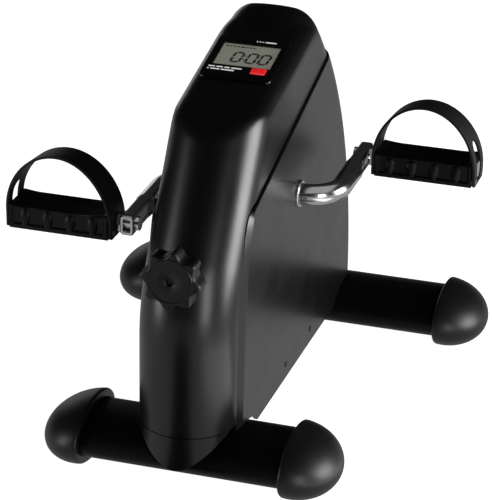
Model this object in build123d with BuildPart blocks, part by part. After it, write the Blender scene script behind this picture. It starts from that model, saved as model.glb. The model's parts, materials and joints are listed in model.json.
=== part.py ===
from build123d import *
import math
import os

# Pedal exerciser: an under-desk crank trainer on two oval cross tubes.
# Frame: +X to the user's right, +Y away from the user, +Z up, millimetres.
# The origin is on the floor, at the centre of the footprint.

# ---- driving dimensions ------------------------------------------------
front_y, rear_y = -151.0, 165.0          # centre lines of the two floor tubes
tube_z = 25.0
tube_half_y, tube_half_z = 40.0, 19.2    # oval section of both tubes
tube_wall = 1.6
front_rim_x, rear_rim_x = 84.5, 134.5    # where the end caps begin
cap_half_y, cap_half_z = 47.5, 26.6
cap_length = 41.3
cap_droop = 0.12                         # the dome's centre line falls this much per mm
cap_socket = 22.0
gap = 0.3                                # air left between curved faces

shell_half_x = 40.0                      # half width of the centre shell
shell_wall = 2.8
column_y = front_y - 12.0                # centre of the column's elliptic section
column_depth = 38.0                      # from that centre to the column's front
column_foot_z = 54.0                     # seam between column and foot cover
lean_start_z, lean_radius, lean_angle = 125.0, 103.0, 32.0
face_slope = 13.5                        # the display face, from the horizontal
face_z0 = 318.4                          # height of the face's line at y = 0

crank_y, crank_z = -2.0, 192.0
crank_tilt = 1.2                         # how far the right arm stands above level
crank_throw = 100.0
crank_tube_r = 9.0
crank_arm_x = 69.5
crank_bend = 25.0
panel_x = 42.0                           # outer face of the flat side panels
panel_wall = 2.6

pedal_x = 128.0                          # middle of each pedal
pedal_half_x, pedal_half_y = 42.4, 18.0
pedal_low, pedal_high = -12.0, 10.0      # body heights about the pedal's axle
pedal_dip = 3.5                          # how far the tread sinks in its middle
strap_a, strap_b = 45.6, 53.0            # outer half axes of the strap's arch
strap_thick, strap_half_y = 2.2, 16.0

knob_z = 194.0
knob_front_y = -212.5
knob_radius, knob_thick = 25.0, 17.0
screw_r = 4.0
drum_r, drum_half_x = 62.0, 12.0
cheek_x, cheek_thick = 27.0, 4.0         # inner face and thickness of the bearing plates
beam_half_x, beam_low, beam_high = 18.0, 48.0, 68.0
beam_start_y, beam_length = -171.0, 351.0
post_y, post_thick = -158.0, 5.0         # plate that carries the tension screw
bolt_x, bolt_head_r, bolt_head_high = 10.0, 6.0, 3.0
panel_low = 32.0                         # lower edge of the side panels
panel_notch = 2.0                        # air between a panel and the front tube
cover_tip_z = 24.0                       # lowest point of the foot cover
back_corner_r = 22.0                     # the housing's back corners, in plan
panel_screw_y = (-28.0, 46.0)
panel_screw_z, panel_screw_r = 45.0, 2.6
carriage_travel = 3.75                   # three turns of a 1.25 mm thread

os.makedirs("parts", exist_ok=True)


def save(block, name):
    """Label one finished piece and write its file."""
    block.part.label = name
    export_step(block.part, f"parts/{name}.step")


def face_z(y):
    return face_z0 + y * math.tan(math.radians(face_slope))


# ---- floor tubes and their end caps ------------------------------------
def floor_tube(name, y, half_length):
    section = Plane(origin=(-half_length, y, tube_z), x_dir=(0, 1, 0), z_dir=(1, 0, 0))
    with BuildPart() as tube:
        with BuildSketch(section):
            Ellipse(tube_half_y, tube_half_z)
            Ellipse(tube_half_y - tube_wall, tube_half_z - tube_wall, mode=Mode.SUBTRACT)
        extrude(amount=2 * half_length)
    save(tube, name)


floor_tube("front_tube", front_y, front_rim_x + cap_socket - 1.0)
floor_tube("rear_tube", rear_y, rear_rim_x + cap_socket - 1.0)


def end_cap(name, side, rim_x, y):
    """A domed cap: oval sections that shrink as the cosine along a quarter turn."""
    steps = [0, 15, 30, 45, 58, 70, 80]
    with BuildPart() as cap:
        for angle in steps:
            reach = cap_length * math.sin(math.radians(angle))
            shrink = math.cos(math.radians(angle))
            height = tube_z + 0.6 - cap_droop * reach
            place = Plane(origin=(side * (rim_x + reach), y, height), x_dir=(0, 1, 0), z_dir=(side, 0, 0))
            with BuildSketch(place):
                Ellipse(cap_half_y * shrink, cap_half_z * shrink)
        loft()
        mouth = Plane(origin=(side * rim_x, y, tube_z), x_dir=(0, 1, 0), z_dir=(side, 0, 0))
        with BuildSketch(mouth):
            Ellipse(tube_half_y + gap, tube_half_z + gap)
        extrude(amount=cap_socket, mode=Mode.SUBTRACT)
        with BuildSketch(Plane.XY):
            with Locations((side * rim_x, y)):
                Rectangle(4 * cap_length, 4 * cap_half_y)
        extrude(amount=-20, mode=Mode.SUBTRACT)
    save(cap, name)


for place_name, rim, tube_y in (("front", front_rim_x, front_y), ("rear", rear_rim_x, rear_y)):
    end_cap(f"{place_name}_left_cap", -1, rim, tube_y)
    end_cap(f"{place_name}_right_cap", 1, rim, tube_y)


# ---- steel frame inside the housing ------------------------------------
with BuildPart() as frame_beam:
    with BuildSketch(Plane.XZ.offset(-beam_start_y)):
        with Locations((0, (beam_low + beam_high) / 2)):
            Rectangle(2 * beam_half_x, beam_high - beam_low)
            Rectangle(2 * beam_half_x - 4, beam_high - beam_low - 4, mode=Mode.SUBTRACT)
    extrude(amount=-beam_length)
save(frame_beam, "frame_beam")


def saddle(name, y):
    """Block between a floor tube and the beam, hollowed to sit on the oval tube."""
    with BuildPart() as block:
        with Locations((0, y, (36.0 + beam_low) / 2)):
            Box(2 * beam_half_x, 36.0, beam_low - 36.0)
        with BuildSketch(Plane.YZ.offset(-beam_half_x - 5)):
            with Locations((y, tube_z)):
                Ellipse(tube_half_y + gap, tube_half_z + gap)
        extrude(amount=2 * beam_half_x + 10, mode=Mode.SUBTRACT)
    save(block, name)


saddle("front_saddle", front_y)
saddle("rear_saddle", rear_y)


def base_bolts(name, y):
    """Two round bolt heads against the underside of a floor tube; the shanks are left out."""
    head_z = tube_z - tube_half_z - bolt_head_high
    with BuildPart() as bolts:
        with Locations((-bolt_x, y, head_z), (bolt_x, y, head_z)):
            Cylinder(bolt_head_r, bolt_head_high, align=(Align.CENTER, Align.CENTER, Align.MIN))
    save(bolts, name)


base_bolts("front_base_bolts", front_y)
base_bolts("rear_base_bolts", rear_y)


def cheek_plate(name, side):
    """Steel plate from the beam up to one bearing."""
    inner = side * cheek_x
    outline = Plane(origin=(inner, 0, 0), x_dir=(0, 1, 0), z_dir=(1, 0, 0))
    with BuildPart() as plate:
        with BuildSketch(outline):
            with BuildLine():
                Polyline((crank_y - 70, beam_low), (crank_y + 70, beam_low), (crank_y + 24, crank_z),
                         (crank_y - 24, crank_z), close=True)
            make_face()
            with Locations((crank_y, crank_z)):
                Circle(24.0)
                Circle(17.5, mode=Mode.SUBTRACT)
        extrude(amount=side * cheek_thick)
    save(plate, name)


def bearing(name, side):
    middle = side * (cheek_x + cheek_thick / 2)
    with BuildPart() as ring:
        with BuildSketch(Plane.YZ.offset(middle - 4.5)):
            with Locations((crank_y, crank_z)):
                Circle(17.5)
                Circle(crank_tube_r + 0.05, mode=Mode.SUBTRACT)
        extrude(amount=9.0)
    save(ring, name)


for side_name, side in (("left", -1), ("right", 1)):
    cheek_plate(f"{side_name}_cheek_plate", side)
    bearing(f"{side_name}_bearing", side)

with BuildPart() as cheek_feet:
    foot_x = (beam_half_x + cheek_x) / 2
    with Locations((-foot_x, crank_y, 58.0), (foot_x, crank_y, 58.0)):
        Box(cheek_x - beam_half_x, 120.0, 16.0)
save(cheek_feet, "cheek_feet")

# ---- plastic housing ---------------------------------------------------
crest_y = 9.0
crest_z = face_z(crest_y)


bend_end = (
    column_y + lean_radius * (1 - math.cos(math.radians(lean_angle))),
    lean_start_z + lean_radius * math.sin(math.radians(lean_angle)),
)


def housing_solid(inset):
    """The whole housing as one solid, its walls moved inwards by inset."""
    half = shell_half_x - inset
    crown_middle = (49.0 - inset * 0.3, 337.0 - inset)
    crown_end = (71.0 - inset * 0.7, 321.0 - inset)
    with BuildPart(mode=Mode.PRIVATE) as body:
        with BuildLine(Plane.YZ) as centre_path:
            rise = Line((column_y, 20.0), (column_y, lean_start_z))
            bend = RadiusArc(rise @ 1, bend_end, lean_radius)
            PolarLine(bend @ 1, 190.0, 90.0 - lean_angle)
        with BuildSketch(Plane(origin=(0, column_y, 20.0), x_dir=(1, 0, 0), z_dir=(0, 0, 1))):
            Ellipse(half, column_depth - inset)
        sweep(path=centre_path.line)
        with BuildSketch(Plane.YZ.offset(-half)):
            with BuildLine():
                up = Line((column_y, 20.0), (column_y, lean_start_z))
                over = RadiusArc(up @ 1, bend_end, lean_radius)
                lean = Line(over @ 1, (-86.0, face_z(-86.0) - inset))
                face = Line(lean @ 1, (crest_y, crest_z - inset))
                brow = Line(face @ 1, (34.0, 338.0 - inset))
                crown = ThreePointArc(brow @ 1, crown_middle, crown_end)
                back = ThreePointArc(crown @ 1, (158.0 - inset, 196.0), (187.0 - inset, 50.0))
                sill = Line(back @ 1, (187.0 - inset, 20.0))
                Line(sill @ 1, up @ 0)
            make_face()
        extrude(amount=2 * half)
        with BuildSketch(Plane.YZ.offset(-60)):
            with BuildLine():
                low = Line((-260.0, face_z(-260.0) - inset), (crest_y, crest_z - inset))
                Polyline(low @ 1, (crest_y, 420.0), (-260.0, 420.0), low @ 0)
            make_face()
        extrude(amount=120, mode=Mode.SUBTRACT)
    return body.part


def behind_seam(grow):
    """Sketch outline of the side panels' region, seen from the side."""
    with BuildSketch(mode=Mode.PRIVATE) as region:
        with BuildLine():
            foot = Line((column_y - grow, 15.0), (column_y - grow, 137.0))
            front = Spline((column_y - grow, 137.0), (-150.0 - grow, 186.0), (-131.0 - grow, 226.0 + grow),
                           tangents=((0, 1), (0.55, 1)))
            top = Line(front @ 1, (96.0, 289.0 + grow))
            Polyline(top @ 1, (230.0, 289.0 + grow), (230.0, 15.0), foot @ 0)
        make_face()
    return region.sketch


def rounded_block(low_x, high_x, inset, start_y):
    """Solid under the curve of the back wall, between two planes of x, its back corners rounded."""
    back_y = 189.0 - inset * 1.1
    with BuildPart(mode=Mode.PRIVATE) as block:
        with BuildSketch(Plane.YZ.offset(low_x)):
            with BuildLine():
                sill = Line((start_y, 20.0), (back_y, 20.0))
                back = ThreePointArc(sill @ 1, (160.0 - inset * 1.1, 196.0), (47.0 - inset * 1.1, 341.0))
                Polyline(back @ 1, (start_y, 341.0), sill @ 0)
            make_face()
        extrude(amount=high_x - low_x)
        corner = block.edges().filter_by(lambda e: abs(e.center().X) > 36 and e.center().Y > 90)
        fillet(corner.filter_by(lambda e: e.length > 100), radius=back_corner_r - inset)
    return block.part


outer_housing = housing_solid(0.0) & rounded_block(-shell_half_x, shell_half_x, 0.0, -260.0)
inner_half_x = shell_half_x - shell_wall
inner_housing = housing_solid(shell_wall) & rounded_block(-inner_half_x, inner_half_x, shell_wall, -260.0)

face_plane = Plane(
    origin=(0, -24.5, face_z(-24.5)),
    x_dir=(1, 0, 0),
    z_dir=(0, -math.sin(math.radians(face_slope)), math.cos(math.radians(face_slope))),
)
console_half_x, console_half_y = 30.0, 32.0
console_deep, console_proud = 13.0, 1.6

with BuildPart() as centre_shell:
    add(outer_housing)
    add(inner_housing, mode=Mode.SUBTRACT)
    with BuildSketch(Plane.YZ.offset(-60)):
        add(behind_seam(0.0))
    extrude(amount=120, mode=Mode.SUBTRACT)
    with Locations((0, column_y, column_foot_z / 2)):
        Box(120, 200, column_foot_z, mode=Mode.SUBTRACT)
    with BuildSketch(face_plane):
        RectangleRounded(2 * console_half_x - 4, 2 * console_half_y - 4, 4.0)
    extrude(amount=20, both=True, mode=Mode.SUBTRACT)
    with BuildSketch(Plane.XZ.offset(-column_y)):
        with Locations((0, knob_z)):
            Circle(10.5)
    extrude(amount=80, mode=Mode.SUBTRACT)
save(centre_shell, "centre_shell")


def tongue_outline():
    """Front view of the foot cover: a rounded V below the column's seam."""
    with BuildSketch(mode=Mode.PRIVATE) as outline:
        with BuildLine():
            left = Line((-45.0, column_foot_z - 0.5), (-45.0, column_foot_z + 2.0))
            right = Line(left @ 1, (45.0, column_foot_z + 2.0))
            Line(right @ 1, (45.0, column_foot_z - 0.5))
            lower = Line((45.0, column_foot_z - 0.5), (38.0, column_foot_z - 0.5))
            flank = Line(lower @ 1, (12.0, cover_tip_z + 4.5))
            tip = ThreePointArc(flank @ 1, (0.0, cover_tip_z), (-12.0, cover_tip_z + 4.5))
            back = Line(tip @ 1, (-38.0, column_foot_z - 0.5))
            Line(back @ 1, left @ 0)
        make_face()
    return outline.sketch


with BuildPart() as foot_cover:
    with BuildSketch(Plane.XY.offset(cover_tip_z - 2.0)):
        with Locations((0, column_y)):
            Ellipse(shell_half_x, column_depth)
            Ellipse(shell_half_x - 3.4, column_depth - 3.4, mode=Mode.SUBTRACT)
            with Locations((0, 50)):
                Rectangle(120, 100, mode=Mode.SUBTRACT)
    extrude(amount=column_foot_z - 0.4 - cover_tip_z + 2.0)
    with BuildSketch(Plane.XZ.offset(-column_y)):
        add(tongue_outline())
    extrude(amount=60, mode=Mode.INTERSECT)
save(foot_cover, "foot_cover")


def side_panel(name, side):
    """One half of the rear housing: a flat side wall and half of the curved back wall."""
    with BuildPart() as panel:
        with BuildSketch(Plane.YZ.offset(0.15 * side)):
            add(behind_seam(-0.5))
        extrude(amount=side * (panel_x + 5.0))
        inner_x = side * (panel_x - panel_wall)
        add(rounded_block(min(0, side * panel_x), max(0, side * panel_x), 0.0, -193.0), mode=Mode.INTERSECT)
        add(rounded_block(min(-side, inner_x), max(-side, inner_x), panel_wall, -203.0), mode=Mode.SUBTRACT)
        with BuildSketch(Plane.YZ.offset(-60)):
            with BuildLine():
                Polyline((-180.0, 0.0), (-180.0, 47.0), (front_y, 47.0), (front_y, panel_low),
                         (200.0, panel_low), (200.0, 0.0), close=True)
            make_face()
            with Locations((front_y, tube_z)):
                Ellipse(tube_half_y + panel_notch, tube_half_z + panel_notch)
            with Locations((rear_y, tube_z)):
                Ellipse(tube_half_y + 1.0, tube_half_z + 1.0)
            with Locations((crank_y, crank_z)):
                Circle(10.3)
        extrude(amount=120, mode=Mode.SUBTRACT)
    save(panel, name)


def axle_bush(name, side):
    """Flanged collar round the crank where it leaves the housing."""
    with BuildPart() as bush:
        with BuildSketch(Plane.YZ.offset(side * (panel_x - panel_wall - 2.0))):
            with Locations((crank_y, crank_z)):
                Circle(10.2)
                Circle(crank_tube_r + 0.06, mode=Mode.SUBTRACT)
        extrude(amount=side * (panel_wall + 2.0))
        with BuildSketch(Plane.YZ.offset(side * panel_x)):
            with Locations((crank_y, crank_z)):
                Circle(11.6)
                Circle(crank_tube_r + 0.06, mode=Mode.SUBTRACT)
        extrude(amount=side * 2.2)
    save(bush, name)


def panel_screws(name, side):
    """Two flat screw heads near the panel's lower edge."""
    with BuildPart() as screws:
        with BuildSketch(Plane.YZ.offset(side * panel_x)):
            with Locations(*[(y, panel_screw_z) for y in panel_screw_y]):
                Circle(panel_screw_r)
        extrude(amount=side * 0.5)
    save(screws, name)


for side_name, side in (("left", -1), ("right", 1)):
    side_panel(f"{side_name}_side_panel", side)
    axle_bush(f"{side_name}_axle_bush", side)
    panel_screws(f"{side_name}_panel_screws", side)

# ---- crank and drum ----------------------------------------------------
tilt = math.radians(crank_tilt)
crank_plane = Plane(
    origin=(0, crank_y, crank_z), x_dir=(1, 0, 0), z_dir=(0, -math.sin(tilt), math.cos(tilt))
)
axle_y = crank_throw * math.cos(tilt)
axle_z = crank_throw * math.sin(tilt)

lug_radius, lug_half_x = 12.0, 6.5
axle_r = 5.0


def axle_point(side):
    """Y and Z of one pedal's axle."""
    return (crank_y + side * axle_y, crank_z + side * axle_z)


with BuildPart() as crank_tube:
    with BuildLine(crank_plane) as crank_path:
        FilletPolyline((-crank_arm_x, -crank_throw), (-crank_arm_x, 0), (crank_arm_x, 0),
                       (crank_arm_x, crank_throw), radius=crank_bend)
    with BuildSketch(Plane(origin=crank_path.line @ 0, z_dir=crank_path.line % 0)):
        Circle(crank_tube_r)
        Circle(crank_tube_r - 2.0, mode=Mode.SUBTRACT)
    sweep(path=crank_path.line)
    for side in (-1, 1):
        with BuildSketch(Plane.YZ.offset(side * crank_arm_x - lug_half_x)):
            with Locations(axle_point(side)):
                Circle(lug_radius)
                with Locations((-side * 12.0, 0)):
                    Rectangle(24.0, 2 * lug_radius - 4)
        extrude(amount=2 * lug_half_x)
        for edge in (-1, 1):
            outside = side * crank_arm_x + edge * (lug_half_x + 10.0)
            with Locations((outside, axle_point(side)[0], axle_point(side)[1])):
                Box(20.0, 48.0, 40.0, mode=Mode.SUBTRACT)
        with BuildSketch(Plane.YZ.offset(side * crank_arm_x - 20.0)):
            with Locations(axle_point(side)):
                Circle(axle_r + 1.0)
        extrude(amount=40.0, mode=Mode.SUBTRACT)
save(crank_tube, "crank_tube")

with BuildPart() as friction_drum:
    with BuildSketch(Plane.YZ.offset(-drum_half_x)):
        with Locations((crank_y, crank_z)):
            Circle(drum_r)
            Circle(drum_r - 8.0, mode=Mode.SUBTRACT)
            Circle(16.0)
            Circle(crank_tube_r, mode=Mode.SUBTRACT)
    extrude(amount=2 * drum_half_x)
    with BuildSketch(Plane.YZ.offset(-3.0)):
        with Locations((crank_y, crank_z)):
            Circle(drum_r - 6.0)
            Circle(14.0, mode=Mode.SUBTRACT)
            with PolarLocations(35.0, 5):
                Circle(9.0, mode=Mode.SUBTRACT)
    extrude(amount=6.0)
save(friction_drum, "friction_drum")

with BuildPart() as speed_magnet:
    with BuildSketch(Plane.YZ.offset(3.0)):
        with Locations((crank_y, crank_z + 20.0)):
            Circle(4.0)
    extrude(amount=5.0)
save(speed_magnet, "speed_magnet")

with BuildPart() as speed_sensor:
    with Locations((cheek_x - 5.0, crank_y, crank_z + 27.0)):
        Box(10.0, 12.0, 8.0)
save(speed_sensor, "speed_sensor")

# ---- tension knob, screw and brake -------------------------------------
with BuildPart() as screw_post:
    with Locations((0, post_y + post_thick / 2, beam_high)):
        Box(44.0, post_thick, 142.0, align=(Align.CENTER, Align.CENTER, Align.MIN))
    with BuildSketch(Plane.XZ.offset(-post_y + 10)):
        with Locations((0, knob_z)):
            Circle(screw_r + 0.06)
        with Locations((-13.0, knob_z), (13.0, knob_z)):
            Circle(2.5)
    extrude(amount=-30.0, mode=Mode.SUBTRACT)
save(screw_post, "screw_post")

with BuildPart() as guide_rods:
    with BuildSketch(Plane.XZ.offset(-post_y)):
        with Locations((-13.0, knob_z), (13.0, knob_z)):
            Circle(2.5)
    extrude(amount=-72.0)
save(guide_rods, "guide_rods")

with BuildPart() as tension_knob:
    with BuildSketch(Plane.XZ.offset(-knob_front_y)):
        with Locations((0, knob_z)):
            Circle(knob_radius - 3.0)
            with PolarLocations(knob_radius - 5.5, 8):
                Circle(5.5)
    extrude(amount=-knob_thick)
    with BuildSketch(Plane.XZ.offset(-knob_front_y)):
        with Locations((0, knob_z)):
            Circle(18.3)
            Circle(17.0, mode=Mode.SUBTRACT)
    extrude(amount=-1.0, mode=Mode.SUBTRACT)
    with BuildSketch(Plane.XZ.offset(-knob_front_y - knob_thick)):
        with Locations((0, knob_z)):
            Circle(8.0)
    extrude(amount=-18.0)
    with BuildSketch(Plane.XZ.offset(-knob_front_y)):
        with Locations((0, knob_z)):
            Circle(screw_r)
    extrude(amount=-60.0, mode=Mode.SUBTRACT)
save(tension_knob, "tension_knob")

with BuildPart() as tension_screw:
    with BuildSketch(Plane.XZ.offset(-knob_front_y - 4.0)):
        with Locations((0, knob_z)):
            Circle(screw_r)
    extrude(amount=-120.5)
save(tension_screw, "tension_screw")

with BuildPart() as screw_washers:
    for start in (post_y - 2.3, post_y + post_thick + 0.3):
        with BuildSketch(Plane.XZ.offset(-start)):
            with Locations((0, knob_z)):
                Circle(7.5)
                Circle(screw_r, mode=Mode.SUBTRACT)
        extrude(amount=-2.0)
save(screw_washers, "screw_washers")

carriage_y = -100.0
with BuildPart() as brake_carriage:
    with Locations((0, carriage_y + 8.0, knob_z)):
        Box(38.0, 16.0, 24.0)
    with BuildSketch(Plane.XZ.offset(-carriage_y + 5)):
        with Locations((0, knob_z)):
            Circle(screw_r + 0.06)
        with Locations((-13.0, knob_z), (13.0, knob_z)):
            Circle(2.56)
    extrude(amount=-30.0, mode=Mode.SUBTRACT)
save(brake_carriage, "brake_carriage")

with BuildPart() as brake_pad:
    with Locations((0, carriage_y + 16.0 + 10.0, knob_z)):
        Box(24.0, 20.0, 34.0)
    with BuildSketch(Plane.YZ.offset(-20)):
        with Locations((crank_y - carriage_travel, crank_z)):
            Circle(drum_r + gap)
    extrude(amount=40.0, mode=Mode.SUBTRACT)
save(brake_pad, "brake_pad")

# ---- console -----------------------------------------------------------
lcd_v, lcd_half_u, lcd_half_v = 4.6, 24.5, 17.2     # window centre and half sizes on the face
button_u, button_v = 16.5, -18.2
button_travel = 1.0
tub_half_u, tub_half_v = console_half_x - 2.3, console_half_y - 2.3


def on_face(height):
    return face_plane.offset(height)


with BuildPart() as console_case:
    with BuildSketch(on_face(0.0)):
        RectangleRounded(2 * console_half_x, 2 * console_half_y, 5.0)
    extrude(amount=console_proud)
    with BuildSketch(on_face(0.0)):
        RectangleRounded(2 * tub_half_u, 2 * tub_half_v, 3.0)
        RectangleRounded(2 * tub_half_u - 3.2, 2 * tub_half_v - 3.2, 2.0, mode=Mode.SUBTRACT)
    extrude(amount=-console_deep)
    with BuildSketch(on_face(-console_deep)):
        RectangleRounded(2 * tub_half_u, 2 * tub_half_v, 3.0)
    extrude(amount=1.6)
    with BuildSketch(on_face(0.0)):
        with Locations((0, lcd_v)):
            Rectangle(2 * lcd_half_u, 2 * lcd_half_v)
        with Locations((button_u, button_v)):
            RectangleRounded(13.6, 9.6, 1.8)
    extrude(amount=5.0, mode=Mode.SUBTRACT)
save(console_case, "console_case")

with BuildPart() as display_window:
    with BuildSketch(on_face(0.2)):
        with Locations((0, lcd_v)):
            Rectangle(2 * lcd_half_u - 0.2, 2 * lcd_half_v - 0.2)
    extrude(amount=1.0)
save(display_window, "display_window")

with BuildPart() as display_panel:
    with BuildSketch(on_face(-2.0)):
        with Locations((0, lcd_v + 0.8)):
            Rectangle(2 * lcd_half_u + 1.6, 2 * lcd_half_v + 1.6)
    extrude(amount=1.9)
save(display_panel, "display_panel")

with BuildPart() as mode_button:
    with BuildSketch(on_face(-2.4)):
        with Locations((button_u, button_v)):
            RectangleRounded(13.0, 9.0, 1.6)
    extrude(amount=2.4 + console_proud + 1.2)
save(mode_button, "mode_button")

with BuildPart() as circuit_board:
    with BuildSketch(on_face(-6.6)):
        Rectangle(2 * tub_half_u - 6.0, 2 * tub_half_v - 6.0)
    extrude(amount=1.6)
    with BuildSketch(on_face(-5.0)):
        with Locations((button_u, button_v)):
            Rectangle(6.0, 6.0)
    extrude(amount=1.3)
save(circuit_board, "circuit_board")

with BuildPart() as button_cells:
    with BuildSketch(on_face(-11.3)):
        with Locations((-9.0, 4.0), (9.0, 4.0)):
            Circle(5.8)
    extrude(amount=4.6)
save(button_cells, "button_cells")


# ---- pedals ------------------------------------------------------------
def pedal(side):
    name = "left" if side < 0 else "right"
    y0, z0 = axle_point(side)
    middle = side * pedal_x
    lug_face = side * (crank_arm_x + lug_half_x)
    end_face = side * (pedal_x + pedal_half_x)

    with BuildPart() as axle:
        with BuildSketch(Plane.YZ.offset(side * (crank_arm_x - lug_half_x))):
            with Locations((y0, z0)):
                Circle(axle_r + 1.0)
        extrude(amount=side * 2 * lug_half_x)
        with BuildSketch(Plane.YZ.offset(lug_face)):
            with Locations((y0, z0)):
                RegularPolygon(7.5, 6, major_radius=False)
        extrude(amount=side * 5.0)
        with BuildSketch(Plane.YZ.offset(lug_face)):
            with Locations((y0, z0)):
                Circle(axle_r)
        extrude(amount=end_face + side * 2.6 - lug_face)
    save(axle, f"{name}_pedal_axle")

    with BuildPart() as end_nut:
        with BuildSketch(Plane.YZ.offset(end_face + side * 0.3)):
            with Locations((y0, z0)):
                Circle(6.8)
                Circle(axle_r, mode=Mode.SUBTRACT)
        extrude(amount=side * 2.3)
    save(end_nut, f"{name}_axle_nut")

    with BuildPart() as body:
        with BuildSketch(Plane.XZ.offset(-(y0 - pedal_half_y))):
            with BuildLine():
                low = Line((middle - pedal_half_x, z0 + pedal_low), (middle + pedal_half_x, z0 + pedal_low))
                right = Line(low @ 1, (middle + pedal_half_x, z0 + pedal_high))
                dip_middle = (middle, z0 + pedal_high - pedal_dip)
                dip = ThreePointArc(right @ 1, dip_middle, (middle - pedal_half_x, z0 + pedal_high))
                Line(dip @ 1, low @ 0)
            make_face()
        extrude(amount=-2 * pedal_half_y)
        long_edges = body.edges().filter_by(Axis.X)
        fillet(long_edges, radius=2.0)
        for face_y, out in ((y0 - pedal_half_y, 1), (y0 + pedal_half_y, -1)):
            with BuildSketch(Plane.XZ.offset(-face_y)):
                with GridLocations(19.5, 1, 4, 1):
                    with Locations((middle, z0 - 2.0)):
                        Ellipse(4.0, 6.0)
            extrude(amount=out * 1.0)
        with BuildSketch(Plane.YZ.offset(middle - 60)):
            with Locations((y0, z0)):
                Circle(axle_r + 0.06)
        extrude(amount=120.0, mode=Mode.SUBTRACT)
        with BuildSketch(Plane.XY.offset(z0 + pedal_low)):
            with Locations((middle, y0 - 11.0), (middle, y0 + 11.0)):
                Rectangle(2 * pedal_half_x - 6.0, 7.0)
        extrude(amount=14.0, mode=Mode.SUBTRACT)
    save(body, f"{name}_pedal_body")

    with BuildPart() as strap:
        with BuildSketch(Plane.XZ.offset(-(y0 - strap_half_y))):
            with Locations((middle, z0 + 1.0)):
                Ellipse(strap_a, strap_b)
                Ellipse(strap_a - strap_thick, strap_b - strap_thick, mode=Mode.SUBTRACT)
            with Locations((middle, z0 - 49.0)):
                Rectangle(120, 100, mode=Mode.SUBTRACT)
            for end in (-1, 1):
                with Locations((middle + end * (strap_a - strap_thick / 2), z0 - 5.5)):
                    Rectangle(strap_thick, 13.2)
        extrude(amount=-2 * strap_half_y)
        with BuildSketch(Plane.YZ.offset(middle - 60)):
            with Locations((y0, z0 + 9.0)):
                SlotOverall(36.0, 16.0, rotation=90)
        extrude(amount=120.0, mode=Mode.SUBTRACT)
        with BuildSketch(Plane.YZ.offset(middle - 60)):
            with Locations((y0 - 12.0, z0 - 7.0), (y0 + 12.0, z0 - 7.0)):
                Circle(2.2)
        extrude(amount=120.0, mode=Mode.SUBTRACT)
    save(strap, f"{name}_strap")

    with BuildPart() as pins:
        for end in (-1, 1):
            with BuildSketch(Plane.YZ.offset(middle + end * pedal_half_x)):
                with Locations((y0 - 12.0, z0 - 7.0), (y0 + 12.0, z0 - 7.0)):
                    Circle(2.0)
            extrude(amount=end * 3.8)
    save(pins, f"{name}_strap_pins")


for pedal_side in (-1, 1):
    pedal(pedal_side)
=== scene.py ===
import json
import math

import bmesh
import bpy
import numpy as np
from mathutils import Matrix, Vector


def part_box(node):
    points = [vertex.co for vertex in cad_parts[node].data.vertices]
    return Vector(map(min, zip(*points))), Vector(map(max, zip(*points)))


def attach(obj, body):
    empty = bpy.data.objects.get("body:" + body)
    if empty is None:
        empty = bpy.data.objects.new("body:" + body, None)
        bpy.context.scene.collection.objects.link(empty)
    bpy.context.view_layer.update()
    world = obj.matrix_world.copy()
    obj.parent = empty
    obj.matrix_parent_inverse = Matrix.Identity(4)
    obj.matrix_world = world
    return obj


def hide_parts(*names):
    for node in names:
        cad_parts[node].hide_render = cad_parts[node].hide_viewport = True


# Pedal exerciser. Lengths below are in millimetres and turned to metres when a mesh is made.
# +X is the user's right, +Y away from the user, +Z up, with the floor at z = 0.
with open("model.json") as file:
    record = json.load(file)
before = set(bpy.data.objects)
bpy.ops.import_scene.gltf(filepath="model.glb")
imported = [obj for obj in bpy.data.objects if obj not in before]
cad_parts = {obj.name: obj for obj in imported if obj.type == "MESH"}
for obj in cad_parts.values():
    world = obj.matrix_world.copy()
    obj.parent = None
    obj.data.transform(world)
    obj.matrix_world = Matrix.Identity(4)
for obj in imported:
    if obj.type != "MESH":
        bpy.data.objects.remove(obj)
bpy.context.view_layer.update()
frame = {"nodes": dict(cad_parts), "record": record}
nodes = frame["nodes"]
mm = 0.001

view = {
    "place": (553.4, -1822.5, 969.4),   # mm
    "azimuth": 17.01,                   # degrees, as are elevation and roll
    "elevation": 23.70,
    "roll": -1.01,
    "lens": 175.9,
    "sensor": 36.0,
    "clip": (0.05, 50.0),               # m
    "exposure": 0.0,
}


# The camera's right, up and backward directions from two angles, then turned by the roll.
def makeCamera():
    a, e, roll = (math.radians(view[k]) for k in ("azimuth", "elevation", "roll"))
    right = Vector((math.cos(a), math.sin(a), 0))
    up = Vector((-math.sin(a) * math.sin(e), math.cos(a) * math.sin(e), math.cos(e)))
    back = Vector((math.sin(a) * math.cos(e), -math.cos(a) * math.cos(e), math.sin(e)))
    turnedRight = right * math.cos(roll) - up * math.sin(roll)
    turnedUp = right * math.sin(roll) + up * math.cos(roll)
    data = bpy.data.cameras.new("camera")
    data.lens = view["lens"]
    data.sensor_width = view["sensor"]
    data.clip_start, data.clip_end = view["clip"]
    camera = bpy.data.objects.new("camera", data)
    bpy.context.scene.collection.objects.link(camera)
    turn = Matrix((turnedRight, turnedUp, back)).transposed().to_4x4()
    camera.matrix_world = Matrix.Translation(Vector(view["place"]) * mm) @ turn
    bpy.context.scene.camera = camera


makeCamera()
print("camera placed")


# sRGB hex to linear, as the shader's sockets want it
def hexColour(text, alpha=1.0):
    values = [int(text[i:i + 2], 16) / 255 for i in (1, 3, 5)]
    return tuple(v / 12.92 if v <= 0.04045 else ((v + 0.055) / 1.055) ** 2.4 for v in values) + (alpha,)


# One node with its settings and links. A setting is an input where the node has one by that name.
def addNode(tree, kind, settings={}, links={}):
    node = tree.nodes.new(kind)
    for name, value in settings.items():
        if name in node.inputs:
            node.inputs[name].default_value = value
        else:
            setattr(node, name, value)
    for name, socket in links.items():
        tree.links.new(socket, node.inputs[name])
    return node


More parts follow.
